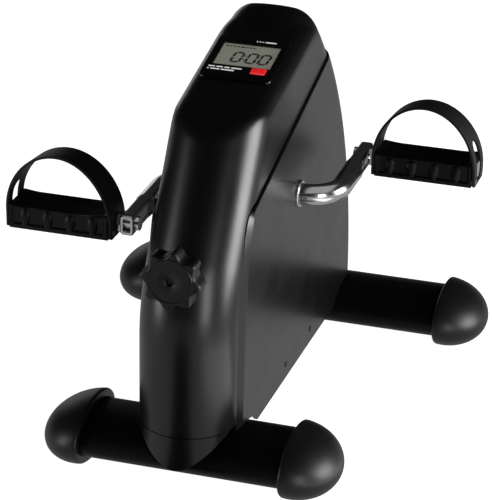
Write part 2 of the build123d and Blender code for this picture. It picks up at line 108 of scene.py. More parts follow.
def newMaterial(name):
    material = bpy.data.materials.new(name)
    material.use_nodes = True
    return material, material.node_tree, material.node_tree.nodes["Principled BSDF"]


def setInputs(shader, values):
    for name, value in values.items():
        shader.inputs[name].default_value = value


# The Mix node has sockets of one name for each data type, so the colour ones are taken by number.
def mixColours(tree, factor, first, second):
    mix = addNode(tree, "ShaderNodeMix", {"data_type": "RGBA"}, {"Factor": factor})
    mix.inputs[6].default_value = hexColour(first)
    mix.inputs[7].default_value = hexColour(second)
    return mix.outputs[2]


def mapRange(tree, low, high, value):
    node = addNode(tree, "ShaderNodeMapRange", {"To Min": low, "To Max": high}, {"Value": value})
    return node.outputs["Result"]


lamps = {
    # name: place mm, aim mm, width m, height m, watts
    "rightSoftbox": ((1700, 300, 420), (0, -60, 160), 0.9, 1.0, 31),
    "rightFrontSoftbox": ((1250, -1300, 420), (0, -100, 160), 0.5, 0.9, 8),
    "leftSoftbox": ((-1450, -1050, 420), (0, -100, 160), 0.6, 0.9, 8),
    "backSoftbox": ((-1300, 1700, 400), (0, 0, 150), 0.9, 0.6, 1.5),
    "edgeStrip": ((750, 1600, 650), (0, -20, 320), 0.2, 0.4, 7),
    "floorCard": ((270, -220, 2), (270, -220, 900), 0.2, 0.35, 0.3),
    "chromeTent": ((150, -300, 1500), (0, 0, 190), 2.2, 2.2, 6),
    "consoleLamp": ((-100, -500, 1300), (0, -20, 320), 0.3, 0.3, 8),
}
# Lamps that light some finishes only: the strip the gloss bezel, the tent the bare metal, and the console
# lamp the display, the print and the button.
lampSets = {
    "edgeStrip": ("glossBlackAbs",),
    "chromeTent": ("brightChrome", "zincSteel"),
    "consoleLamp": ("displayGrey", "displayInk", "whitePrint", "redSilicone"),
}
litBy = {name: bpy.data.collections.new(name) for name in lampSets}


def makeLamp(name, place, aim, width, height, watts):
    data = bpy.data.lights.new(name, "AREA")
    data.shape = "RECTANGLE"
    data.size, data.size_y, data.energy = width, height, watts
    lamp = bpy.data.objects.new(name, data)
    bpy.context.scene.collection.objects.link(lamp)
    lamp.visible_camera = False
    if name in litBy:
        lamp.light_linking.receiver_collection = litBy[name]
    direction = (Vector(aim) - Vector(place)) * mm
    turn = direction.to_track_quat("-Z", "Y").to_matrix().to_4x4()
    lamp.matrix_world = Matrix.Translation(Vector(place) * mm) @ turn


# The floor and the world look white to the camera and stay dim in reflections, so the object mirrors a
# dim room.
studio = {
    "floorSize": 6.0,   # m
    "floorColour": "#f2f2f2", "mirroredFloor": "#303030", "floorGlow": 0.97, "mirroredGlow": 0.4,
    "floorRough": 0.9, "worldSeen": 1.0, "worldMirrored": 0.02,
}
# A black card on the floor, mirrored in the column's front and wider towards the camera, in mm
flag = {"footHalf": 26, "footY": -205, "half": 100, "wideY": -520, "endY": -900, "lift": 0.5}


def seenByCamera(tree):
    return addNode(tree, "ShaderNodeLightPath").outputs["Is Camera Ray"]


def makeWorld():
    world = bpy.data.worlds.new("studio")
    bpy.context.scene.world = world
    world.use_nodes = True
    tree = world.node_tree
    tree.nodes.clear()
    strength = mapRange(tree, studio["worldMirrored"], studio["worldSeen"], seenByCamera(tree))
    light = addNode(tree, "ShaderNodeBackground", {"Color": (1, 1, 1, 1)}, {"Strength": strength})
    addNode(tree, "ShaderNodeOutputWorld", {}, {"Surface": light.outputs["Background"]})


def makeSheet(name, corners, material):
    mesh = bpy.data.meshes.new(name)
    mesh.from_pydata(corners, [], [tuple(range(len(corners)))])
    mesh.materials.append(material)
    sheet = bpy.data.objects.new(name, mesh)
    bpy.context.scene.collection.objects.link(sheet)
    return sheet


def makeFloor():
    paper, tree, shader = newMaterial("paleFloor")
    seen = seenByCamera(tree)
    colour = mixColours(tree, seen, studio["mirroredFloor"], studio["floorColour"])
    glow = mapRange(tree, studio["mirroredGlow"], studio["floorGlow"], seen)
    tree.links.new(colour, shader.inputs["Base Color"])
    tree.links.new(glow, shader.inputs["Emission Strength"])
    setInputs(shader, {"Roughness": studio["floorRough"], "Specular IOR Level": 0.0,
                       "Emission Color": (1, 1, 1, 1)})
    r = studio["floorSize"] / 2
    floor = makeSheet("floor", [(-r, -r, 0), (r, -r, 0), (r, r, 0), (-r, r, 0)], paper)


def makeFlag():
    black, tree, shader = newMaterial("blackFlag")
    setInputs(shader, {"Base Color": (0, 0, 0, 1), "Specular IOR Level": 0.0})
    half, footHalf, lift = flag["half"] * mm, flag["footHalf"] * mm, flag["lift"] * mm
    endY, wideY, footY = flag["endY"] * mm, flag["wideY"] * mm, flag["footY"] * mm
    outline = [(-half, endY, lift), (half, endY, lift), (half, wideY, lift), (footHalf, footY, lift),
               (-footHalf, footY, lift), (-half, wideY, lift)]
    card = makeSheet("blackFlag", outline, black)
    card.visible_camera = card.visible_shadow = False


def makeStudio():
    for name, (place, aim, width, height, watts) in lamps.items():
        makeLamp(name, place, aim, width, height, watts)
    makeWorld()
    makeFloor()
    makeFlag()
    settings = bpy.context.scene.view_settings
    settings.view_transform = "Standard"
    settings.exposure = view["exposure"]


makeStudio()
print("studio lit")


# A moulded or coated surface: fine grain in colour, roughness and bump, and soft large-scale change in
# gloss. grain is the size of the texture's grains in mm, cloud the size of the slow change in gloss.
def surfaceMaterial(name, colour, second, rough, ior=1.5, metallic=0.0, grain=0.9, bump=0.05, cloud=40.0,
                    roughSpread=0.06, specular=0.5):
    material, tree, shader = newMaterial(name)
    place = addNode(tree, "ShaderNodeTexCoord").outputs["Object"]
    fine = addNode(tree, "ShaderNodeTexNoise", {"Scale": 1 / (grain * mm), "Detail": 3.0}, {"Vector": place})
    slow = addNode(tree, "ShaderNodeTexNoise", {"Scale": 1 / (cloud * mm), "Detail": 2.0}, {"Vector": place})
    mixed = mixColours(tree, fine.outputs["Fac"], colour, second)
    spread = mapRange(tree, rough - roughSpread, rough + roughSpread, slow.outputs["Fac"])
    dents = addNode(tree, "ShaderNodeBump", {"Strength": bump, "Distance": 0.2 * mm},
                    {"Height": fine.outputs["Fac"]})
    tree.links.new(mixed, shader.inputs["Base Color"])
    tree.links.new(spread, shader.inputs["Roughness"])
    tree.links.new(dents.outputs["Normal"], shader.inputs["Normal"])
    setInputs(shader, {"IOR": ior, "Metallic": metallic, "Specular IOR Level": specular})
    return material


# colour and second colour, roughness, and what differs from the usual
finishLooks = {
    # injection-moulded ABS with a fine eroded texture: a soft broad sheen
    "satinBlackAbs": ("#070707", "#0b0b0b", 0.3, dict(ior=1.54, grain=0.7, bump=0.12)),
    # polypropylene end caps and knob: duller and greyer than the housing
    "blackPolypropylene": ("#0a0a0a", "#0e0e0f", 0.42, dict(ior=1.49, grain=0.8, bump=0.2)),
    # powder-coated steel tube: deep black with hardly any shine
    "blackPowderCoat": ("#030303", "#050505", 0.45, dict(grain=1.2, bump=0.2, specular=0.16)),
    # chrome plate on drawn tube: a soft mirror with a faint waviness
    "brightChrome": ("#cfd0d2", "#d6d7d8", 0.19, dict(metallic=1.0, grain=6.0, bump=0.01, roughSpread=0.02)),
    # zinc plate on fasteners: a dull grey gleam
    "zincSteel": ("#9c9c9e", "#b0b0b2", 0.32, dict(metallic=1.0, grain=0.5, bump=0.1)),
    # nylon pedal bodies: matt, so the ribs and ovals show by their edges
    "blackNylon": ("#050505", "#080808", 0.42, dict(ior=1.53, grain=0.6, bump=0.2, specular=0.22)),
    # flexible PVC foot straps: an even matt black, a little lighter where they face up
    "softBlackPvc": ("#0a0a0a", "#0d0d0d", 0.58, dict(ior=1.53, grain=1.5, bump=0.1, specular=0.3)),
    # gloss ABS bezel: dark, with a thin bright line along its edge
    "glossBlackAbs": ("#050505", "#070707", 0.16, dict(ior=1.54, grain=3.0, bump=0.02, roughSpread=0.03)),
    # reflective liquid-crystal panel: flat greenish grey, with near-black segments
    "displayGrey": ("#8f8f84", "#8a8a7e", 0.5, dict(grain=0.4, bump=0.02)),
    "displayInk": ("#151512", "#1b1b18", 0.5, dict(grain=0.4, bump=0.02)),
    # screen print: clean white marks
    "whitePrint": ("#e6e6e6", "#dddddd", 0.5, dict(grain=0.4, bump=0.02)),
    # silicone key: saturated red, soft shine
    "redSilicone": ("#ea1f25", "#e21b20", 0.42, dict(ior=1.41, grain=0.8, bump=0.05)),
    # bare cast drum, seen only with the housing off: rough grey metal
    "castIron": ("#3a3a3c", "#4a4a4b", 0.5, dict(metallic=1.0, grain=0.8, bump=0.3)),
    # pressed wool brake pad: fibrous, no shine
    "greyFelt": ("#5a5750", "#6d6a62", 0.95, dict(grain=0.5, bump=0.6)),
    # lacquered circuit board: green, smooth
    "greenBoard": ("#0d4f25", "#11602e", 0.35, dict(grain=1.0, bump=0.05)),
    # painted frame parts and blackened screws: nearly black
    "darkPaint": ("#17171a", "#1d1d20", 0.4, dict(grain=1.0, bump=0.2)),
}
finishes = {name: surfaceMaterial(name, first, second, rough, **more)
            for name, (first, second, rough, more) in finishLooks.items()}

slotFinish = {
    "painted_tube": "blackPowderCoat", "frame_steel": "darkPaint", "cap_plastic": "blackPolypropylene",
    "shell_plastic": "satinBlackAbs", "panel_plastic": "satinBlackAbs", "chrome": "brightChrome",
    "steel": "zincSteel", "bearing_bush": "blackNylon", "drum_iron": "castIron", "brake_felt": "greyFelt",
    "knob_plastic": "blackPolypropylene", "pedal_plastic": "blackNylon", "strap_plastic": "softBlackPvc",
    "bezel_plastic": "glossBlackAbs", "display_grey": "displayGrey", "button_red": "redSilicone",
    "board_green": "greenBoard", "magnet_grey": "zincSteel",
}
nodeFinish = {"left_panel_screws": "darkPaint", "right_panel_screws": "darkPaint"}


window = {"colour": "#0c0c0c", "alpha": 0.06, "ior": 1.49, "rough": (0.04, 0.1), "cloudScale": 60.0}


# Clear acrylic window: mostly see-through, with a thin glossy reflection
def windowMaterial():
    material, tree, shader = newMaterial("clearAcrylic")
    place = addNode(tree, "ShaderNodeTexCoord").outputs["Object"]
    noise = addNode(tree, "ShaderNodeTexNoise", {"Scale": window["cloudScale"]}, {"Vector": place})
    tree.links.new(mapRange(tree, *window["rough"], noise.outputs["Fac"]), shader.inputs["Roughness"])
    shader.inputs["Base Color"].default_value = hexColour(window["colour"])
    setInputs(shader, {"Alpha": window["alpha"], "IOR": window["ior"]})
    return material


finishes["clearAcrylic"] = windowMaterial()
slotFinish["display_clear"] = "clearAcrylic"


# Puts a piece in the sets of the lamps that light its finish
def shareLight(piece, finish):
    for lampName, names in lampSets.items():
        if finish in names:
            litBy[lampName].objects.link(piece)


def dressCadNodes():
    for part in frame["record"]["subparts"]:
        node = nodes[part["node"]]
        finish = nodeFinish.get(part["node"], slotFinish[part["material_slot"]])
        node.data.materials.clear()
        node.data.materials.append(finishes[finish])
        shareLight(node, finish)


dressCadNodes()
print("materials made")


# The bevel's steps, and the sharpest bend in degrees that it leaves alone
rounded = {"segments": 2, "angle": 50}


# Grids of points (rows, columns, xyz in mm) become one mesh. Doubles are merged, so seams and poles
# close, and the faces are turned to look away from the middle. cut says, from their centres, which faces
# are left out.
def makePiece(name, grids, body, finish, replaces=(), wall=0.0, bevel=0.0, crease=38.0,
              merge=0.01, wallOffset=-1.0, cut=None):
    points, faces, start = [], [], 0
    for grid in grids:
        rows, columns = grid.shape[:2]
        index = start + np.arange(rows * columns).reshape(rows, columns)
        quads = np.stack([index[:-1, :-1], index[:-1, 1:], index[1:, 1:], index[1:, :-1]], -1).reshape(-1, 4)
        if cut:
            quads = quads[~cut(grid.reshape(-1, 3)[quads - start].mean(1))]
        points.append(grid.reshape(-1, 3) * mm)
        faces.append(quads)
        start += rows * columns
    mesh = bpy.data.meshes.new(name)
    mesh.from_pydata(np.concatenate(points).tolist(), [], np.concatenate(faces).tolist())
    work = bmesh.new()
    work.from_mesh(mesh)
    bmesh.ops.remove_doubles(work, verts=work.verts, dist=merge * mm)
    bmesh.ops.dissolve_degenerate(work, edges=work.edges, dist=merge * mm)
    bmesh.ops.recalc_face_normals(work, faces=work.faces)
    middle = sum((v.co for v in work.verts), Vector()) / len(work.verts)
    outward = sum(f.calc_area() * f.normal.dot(f.calc_center_median() - middle) for f in work.faces)
    if outward < 0:
        bmesh.ops.reverse_faces(work, faces=work.faces)
    work.to_mesh(mesh)
    work.free()
    mesh.shade_smooth()
    mesh.set_sharp_from_angle(angle=math.radians(crease))
    mesh.materials.append(finishes[finish])
    piece = bpy.data.objects.new(name, mesh)
    bpy.context.scene.collection.objects.link(piece)
    if wall:
        shell = piece.modifiers.new("wall", "SOLIDIFY")
        shell.thickness = wall * mm
        shell.offset = wallOffset
    if bevel:
        rounding = piece.modifiers.new("rounding", "BEVEL")
        rounding.width = bevel * mm
        rounding.segments = rounded["segments"]
        rounding.limit_method = "ANGLE"
        rounding.angle_limit = math.radians(rounded["angle"])
        rounding.harden_normals = True
    shareLight(piece, finish)
    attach(piece, body)
    if replaces:
        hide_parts(*replaces)
    return piece


# Polynomial rounding of the corner where two distances are equal; k sets how wide the rounding is.
def roundMin(a, b, k):
    h = np.clip(1 - np.abs(a - b) / k, 0, 1)
    return np.minimum(a, b) - h * h * k / 4


def roundMax(a, b, k):
    return -roundMin(-a, -b, k)


# A smooth line through a few points: cubic pieces whose slope at a point is that of its two neighbours.
def smoothLine(points, count):
    points = np.array(points, float)
    reach = np.r_[0, np.cumsum(np.linalg.norm(np.diff(points, axis=0), axis=1))]
    slope = np.gradient(points, reach, axis=0)
    s = np.linspace(0, reach[-1], count)
    i = np.clip(np.searchsorted(reach, s, side="right") - 1, 0, len(reach) - 2)
    h = (reach[i + 1] - reach[i])[:, None]
    t = ((s - reach[i]) / h[:, 0])[:, None]
    return ((2 * t**3 - 3 * t**2 + 1) * points[i] + (t**3 - 2 * t**2 + t) * h * slope[i]
            + (3 * t**2 - 2 * t**3) * points[i + 1] + (t**3 - t**2) * h * slope[i + 1])


# Even steps along straight lines between points
def polyLine(points, count):
    points = np.array(points, float)
    reach = np.r_[0, np.cumsum(np.linalg.norm(np.diff(points, axis=0), axis=1))]
    s = np.linspace(0, reach[-1], count)
    return np.stack([np.interp(s, reach, points[:, k]) for k in range(points.shape[1])], -1)


housing = {
    "halfWidth": 40.0, "columnY": -163.0, "columnDepth": 38.0, "footZ": 54.4,
    "fanY": -60.0, "fanZ": 125.0,            # centre of the fan of slices, and of the column's bend
    "leanAngle": 32.0, "faceSlope": 13.5, "faceZ": 318.4, "crestY": 9.0, "crestBow": 7.0, "crestHalf": 30.0,
    "browSlope": 35.0, "shoulder": 15.0, "crownShoulder": 38.0, "creaseRound": 9.0, "crestRound": 2.0,
    "peakRound": 26.0, "backLow": (189.0, 20.0), "backMiddle": (160.0, 196.0), "backHigh": (47.0, 341.0),
    "backCorner": 22.0, "seamGap": 0.45, "wall": 2.8,
    "fanFrom": 180, "fanTo": 44, "tries": 400, "leastOpen": 0.6,   # the fan ends where the slice has closed
    "rows": 230, "lowRows": 46, "columns": 150, "farthest": 260.0, "halvings": 44,
    "consoleY": -24.5, "openHalfX": 27.0, "openHalfV": 29.0, "openAbove": 290.0,   # under the console
}
seamFront = [(-162, 125), (-161, 146), (-157, 166), (-150, 186), (-143, 207), (-135, 221), (-128, 227)]
# The groove's ends and slope, seen from the side
groove = {"frontY": -128.0, "frontZ": 227.0, "rearY": 73.0, "rearZ": 283.0}
grooveRise = (groove["rearZ"] - groove["frontZ"]) / (groove["rearY"] - groove["frontY"])
leastCosine = 0.05   # keeps a distance finite where its ray runs beside the surface


# Centre and radius of the circle through three points of the back wall
def backCircle():
    (ax, ay), (bx, by), (cx, cy) = (housing[k] for k in ("backLow", "backMiddle", "backHigh"))
    d = 2 * (ax * (by - cy) + bx * (cy - ay) + cx * (ay - by))
    ux = ((ax**2 + ay**2) * (by - cy) + (bx**2 + by**2) * (cy - ay) + (cx**2 + cy**2) * (ay - by)) / d
    uy = ((ax**2 + ay**2) * (cx - bx) + (bx**2 + by**2) * (ax - cx) + (cx**2 + cy**2) * (bx - ax)) / d
    return ux, uy, math.hypot(ax - ux, ay - uy)


backY, backZ, backR = backCircle()


# How far a corner of this radius has fallen away at x, for a body of this half width
def cornerFall(x, half, radius):
    t = np.clip((np.abs(x) - (half - radius)) / radius, 0, 1)
    return radius * (1 - np.sqrt(1 - t * t))


# Distance from the fan's centre to the skin, at an angle in the side view and at x across. It is the
# rounded least of the column's bend, the face with the brow behind it, and the circle of the back wall.
def skinRadius(angle, x):
    h = housing
    half = h["halfWidth"]
    x = np.minimum(np.abs(x), half)
    columnReach = h["fanY"] - h["columnY"] + h["columnDepth"] * np.sqrt(1 - (x / half) ** 2)
    past = np.maximum(math.radians(180 - h["leanAngle"]) - angle, 0)
    column = columnReach / np.maximum(np.cos(past), leastCosine)
    fall = cornerFall(x, half, h["shoulder"])
    slope = math.radians(h["faceSlope"])
    facing = slope + math.pi / 2
    toFace = np.array([-h["fanY"], h["faceZ"] - h["fanZ"]])
    faceReach = toFace @ [math.cos(facing), math.sin(facing)]
    face = (faceReach - fall) / np.maximum(np.cos(angle - facing), leastCosine)
    browFacing = math.radians(h["browSlope"]) + math.pi / 2
    crestY = h["crestY"] + h["crestBow"] * (1 - (x / h["crestHalf"]) ** 2)
    crestZ = h["faceZ"] + crestY * math.tan(slope)
    reach = (crestY - h["fanY"]) * math.cos(browFacing) + (crestZ - h["fanZ"]) * math.sin(browFacing)
    browFall = cornerFall(x, half, h["crownShoulder"])
    brow = (reach - browFall) / np.maximum(np.cos(angle - browFacing), leastCosine)
    radius = backR - cornerFall(x, half, h["backCorner"])
    dy, dz = h["fanY"] - backY, h["fanZ"] - backZ
    along = dy * np.cos(angle) + dz * np.sin(angle)
    back = -along + np.sqrt(np.maximum(along**2 - (dy**2 + dz**2 - radius**2), 0))
    top = roundMax(face, brow, h["crestRound"])
    return roundMin(roundMin(column, top, h["creaseRound"]), back, h["peakRound"])


# Distance from the fan's centre to the seam: a smooth curve up to the corner, then the straight groove.
def seamRadius(angle):
    fan = np.array([housing["fanY"], housing["fanZ"]])
    curve = smoothLine(seamFront, 60) - fan
    bearing = np.arctan2(curve[:, 1], curve[:, 0])
    bearing = np.where(bearing < 0, bearing + 2 * math.pi, bearing)
    front = np.interp(-angle, -bearing, np.hypot(curve[:, 0], curve[:, 1]))
    rise = math.atan(grooveRise) + math.pi / 2
    corner = np.array(seamFront[-1]) - fan
    straight = (corner @ [math.cos(rise), math.sin(rise)]) / np.cos(angle - rise)
    return np.where(angle > bearing[-1], front, straight)


# Each point is where a ray leaves the seam's middle, at an angle psi in the slice, and meets the skin.
# The meeting point is found by halving the distance again and again, on whole arrays.
def shellGrid():
    h = housing
    turns = np.radians(np.linspace(h["fanFrom"], h["fanTo"], h["tries"]))
    opening = skinRadius(turns, 0 * turns) - seamRadius(turns) - h["seamGap"]
    lastTurn = turns[np.argmax(opening < h["leastOpen"])]
    low = np.linspace(h["footZ"], h["fanZ"], h["lowRows"], endpoint=False)
    angle = np.r_[np.full(h["lowRows"], math.pi), np.linspace(math.pi, lastTurn, h["rows"])]
    originZ = np.r_[low, np.full(h["rows"], h["fanZ"])]
    inner = seamRadius(angle) + h["seamGap"]
    psi = np.radians(np.linspace(-90, 90, h["columns"]))
    sinPsi, cosPsi = np.sin(psi)[None], np.maximum(np.cos(psi), 0)[None]
    near = np.zeros((len(angle), len(psi)))
    far = near + h["farthest"]
    for step in range(h["halvings"]):
        middle = (near + far) / 2
        x, rho = middle * sinPsi, inner[:, None] + middle * cosPsi
        outside = (np.abs(x) > h["halfWidth"]) | (rho > skinRadius(angle[:, None], x))
        far, near = np.where(outside, middle, far), np.where(outside, near, middle)
    x, rho = near * sinPsi, inner[:, None] + near * cosPsi
    y = h["fanY"] + rho * np.cos(angle)[:, None]
    return np.stack([x, y, originZ[:, None] + rho * np.sin(angle)[:, None]], -1)


# Faces under the bezel, where the console sits in the shell
def underConsole(centre):
    h = housing
    along = (centre[:, 1] - h["consoleY"]) / math.cos(math.radians(h["faceSlope"]))
    beside = (np.abs(centre[:, 0]) < h["openHalfX"]) & (np.abs(along) < h["openHalfV"])
    return beside & (centre[:, 2] > h["openAbove"])


makePiece("housingShell", [shellGrid()], "base", "satinBlackAbs", ["centre_shell"],
          wall=housing["wall"], bevel=0.5, crease=60, cut=underConsole)
print("housing shell made")

footCover = {"top": 53.6, "side": 0.8, "tipZ": 24.2, "bow": 1.7, "wall": 3.0, "reach": 38.0, "rows": 24,
             "columns": 91}


# The column's half ellipse carried down to a tongue: its lower edge rises with a power of x between a U
# and a V.
def footCoverGrid():
    f, h = footCover, housing
    x = np.linspace(-f["reach"], f["reach"], f["columns"])
    low = f["tipZ"] + (f["top"] - f["side"] - f["tipZ"]) * np.abs(x / f["reach"]) ** f["bow"]
    y = h["columnY"] - h["columnDepth"] * np.sqrt(1 - (x / h["halfWidth"]) ** 2)
    z = f["top"] + (low - f["top"]) * np.linspace(0, 1, f["rows"])[:, None]
    return np.stack([np.broadcast_to(x, z.shape), np.broadcast_to(y, z.shape), z], -1)


makePiece("footCover", [footCoverGrid()], "base", "satinBlackAbs", ["foot_cover"],
          wall=footCover["wall"], bevel=0.7)

panel = {
    "outerX": 42.0, "wall": 2.6, "rows": 90, "columns": 110, "wrapColumns": 44, "stripColumns": 6,
    # notches over the tubes: centre y and z, half axes
    "underside": 32.0, "rearTube": (165.0, 25.0, 41.0, 20.2), "frontTube": (-151.0, 25.0, 42.0, 21.2),
    "cornerShare": 0.6, "backGap": 0.2, "firstZ": 43.0,
    "rimDeep": 1.4, "rimFrom": 20.0, "rimDrop": 1.0,
    "seamLine": [(-161.5, 47), (-161.5, 66), (-161.5, 100), (-161.5, 130), (-160.5, 148), (-156.5, 167),
                 (-149.5, 186.5), (-142.5, 207), (-134.5, 221), (-127.8, 226.5)],
    "flatLine": [(-151, 47), (-150, 74), (-149, 105), (-148, 135), (-145.5, 160), (-140.5, 186),
                 (-134.5, 208), (-127.0, 226.4)],
    "seamHeights": (47, 186, 207, 227), "seamX": (39.6, 39.4, 38.6, 39.0),
}


# The lower edge runs straight and rises over the rear tube in half an ellipse.
def panelBottom(y):
    tubeY, tubeZ, halfY, halfZ = panel["rearTube"]
    over = np.clip(1 - ((y - tubeY) / halfY) ** 2, 0, 1)
    return np.maximum(panel["underside"], tubeZ + halfZ * np.sqrt(over))


# Points of the wrap round the back: t runs from the side wall's edge over the corner to the middle of the
# back. Each column is an arc about the back wall's centre, from the notch over the tube up to the groove.
# The groove is met where a straight line crosses the circle: the greater root of a y^2 + b y + c = 0, y
# from the circle's centre. The notch is met by stepping between the circle and the lower edge, which
# settles in a few steps.
def panelWrap(v, t):
    p, h = panel, housing
    r = h["backCorner"]
    turn = np.clip(t / p["cornerShare"], 0, 1) * math.pi / 2
    flat = np.clip((t - p["cornerShare"]) / (1 - p["cornerShare"]), 0, 1)
    x = (p["outerX"] - r) + r * np.cos(turn) - flat * (p["outerX"] - r - p["backGap"])
    radius = backR - r * (1 - np.sin(turn))
    base = groove["frontZ"] - grooveRise * groove["frontY"] - h["seamGap"] - backZ
    a, b = 1 + grooveRise**2, 2 * grooveRise * (base + grooveRise * backY)
    c = (base + grooveRise * backY) ** 2 - radius**2
    yTop = (-b + np.sqrt(b * b - 4 * a * c)) / (2 * a)
    high = np.arctan2(base + grooveRise * (backY + yTop), yTop)
    z = np.full_like(radius, p["firstZ"])
    for step in range(4):
        y = backY + np.sqrt(radius**2 - (z - backZ) ** 2)
        z = panelBottom(y)
    low = np.arctan2(z - backZ, y - backY)
    angle = low + (high - low) * v[:, None]
    x = np.broadcast_to(x, angle.shape)
    return np.stack([x, backY + radius * np.cos(angle), backZ + radius * np.sin(angle)], -1)


# The flat side is a Coons patch between its front line, the back wall's edge, the lower edge and the
# groove: the sum of the two ruled surfaces less the one through the corners. A strip joins it to the
# seam, and a rim turns in along the groove.
def panelGrid(side):
    p = panel
    v = np.linspace(0, 1, p["rows"])
    wrap = panelWrap(v, np.linspace(0, 1, p["wrapColumns"]))
    seam, front = smoothLine(p["seamLine"], p["rows"]), smoothLine(p["flatLine"], p["rows"])
    back = wrap[:, 0, 1:]
    tubeY, tubeZ, halfY, halfZ = p["frontTube"]
    tubeEnd = tubeY + halfY
    y = np.concatenate([np.linspace(front[0, 0], tubeEnd, 30), np.linspace(tubeEnd + 1, back[0, 0], 60)])
    overTube = tubeZ + halfZ * np.sqrt(np.clip(1 - ((y - tubeY) / halfY) ** 2, 0, 1))
    lower = np.maximum(overTube * (y < tubeEnd), panelBottom(y))
    bottom = polyLine(np.stack([y, lower], -1), p["columns"])
    top = polyLine([front[-1], back[-1]], p["columns"])
    u, w = np.linspace(0, 1, p["columns"])[None, :, None], v[:, None, None]
    flat = ((1 - w) * bottom[None] + w * top[None] + (1 - u) * front[:, None] + u * back[:, None]
            - (1 - u) * (1 - w) * bottom[0] - u * (1 - w) * bottom[-1]
            - (1 - u) * w * top[0] - u * w * top[-1])
    flat = np.concatenate([np.full(flat.shape[:2] + (1,), p["outerX"]), flat], -1)
    seamX = np.interp(seam[:, 1], p["seamHeights"], p["seamX"])
    edge = np.concatenate([seamX[:, None], seam], -1)[:, None]
    strip = edge + (flat[:, :1] - edge) * np.linspace(0, 1, p["stripColumns"])[None, :-1, None]
    grid = np.concatenate([strip, flat[:, :-1], wrap], 1)
    rim = grid[-1:].copy()
    rim[..., 0] -= np.clip(rim[..., 0] - p["rimFrom"], 0, 1) * p["rimDeep"]
    grid[-1, :, 2] -= p["rimDrop"]
    grid = np.concatenate([grid, rim], 0)
    grid[..., 0] *= side
    return grid


for sideName, side in (("left", -1), ("right", 1)):
    makePiece(f"{sideName}Panel", [panelGrid(side)], "base", "satinBlackAbs", [f"{sideName}_side_panel"],
              wall=panel["wall"], bevel=0.5, crease=12)
print("side panels made")

cap = {
    "halfY": 47.5, "halfZ": 26.6, "length": 41.3, "droop": 0.12, "centreZ": 25.6,
    "tubeY": 40.1, "tubeZ": 19.3, "rimRound": 2.6, "lipDeep": 4.0, "lipOut": 0.3,
    "rimSteps": 6, "domeSteps": 44, "crowd": 0.9, "around": 97,
}


# Oval sections; each ring is (reach along X, share of half width, share of half height). A short inner
# lip and a rolled rim come before the dome, a quarter turn, and everything is held at or above the floor.
def capGrid(side, rimX, y):
    c = cap
    roll = np.maximum(np.radians(np.linspace(-90, -8.75, c["rimSteps"])), -1.57)
    dome = np.radians(90 * np.linspace(0, 1, c["domeSteps"]) ** c["crowd"])
    rings = [(reach, c["tubeY"] / c["halfY"], c["tubeZ"] / c["halfZ"])
             for reach in (c["lipDeep"], c["lipOut"])]
    for a in roll:
        inset = c["rimRound"] * (1 - math.cos(a))
        rings.append((c["rimRound"] * (1 + math.sin(a)), 1 - inset / c["halfY"], 1 - inset / c["halfZ"]))
    for a in dome:
        rings.append((c["rimRound"] + (c["length"] - c["rimRound"]) * math.sin(a), math.cos(a), math.cos(a)))
    reach, shareY, shareZ = np.array(rings).T[..., None]
    theta = np.linspace(0, 2 * math.pi, c["around"])
    x = np.broadcast_to(side * (rimX + reach), (len(rings), c["around"]))
    z = c["centreZ"] - c["droop"] * reach + c["halfZ"] * shareZ * np.sin(theta)
    return np.stack([x, y + c["halfY"] * shareY * np.cos(theta), np.maximum(z, 0.0)], -1)


for end in ("front", "rear"):
    for sideName, side in (("left", -1), ("right", 1)):
        node = f"{end}_{sideName}_cap"
        low, high = (np.array(corner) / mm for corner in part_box(node))
        rimX = min(abs(low[0]), abs(high[0]))
        grid = capGrid(side, rimX, (low[1] + high[1]) / 2)
        makePiece(f"{end}{sideName.capitalize()}Cap", [grid], "base", "blackPolypropylene", [node],
                  crease=50)
print("end caps made")

crank = {
    "tubeR": 9.0, "armX": 72.0, "bend": 26.0, "throw": 100.0, "tilt": 1.2, "lugHalfZ": 8.6, "lugHalfX": 6.0,
    "flatStart": 58.0, "flatFull": 74.0, "square": 3.2,   # where the tube is pressed flat, and how squarely
    "pocketFrom": 58.0, "pocketTo": 96.0, "pocketHalf": 4.8, "pocketDeep": 0.9, "pocketSlope": 0.9,
    "edge": 1.0, "tubeWall": 2.6, "openDeep": 7.0,
    "straightSteps": 8, "bendSteps": 36, "armSteps": 150, "edgeSteps": 6, "around": 113,
}
axleLow, axleHigh = (np.array(corner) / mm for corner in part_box("friction_drum"))
crankY, crankZ = (axleLow[1] + axleHigh[1]) / 2, (axleLow[2] + axleHigh[2]) / 2


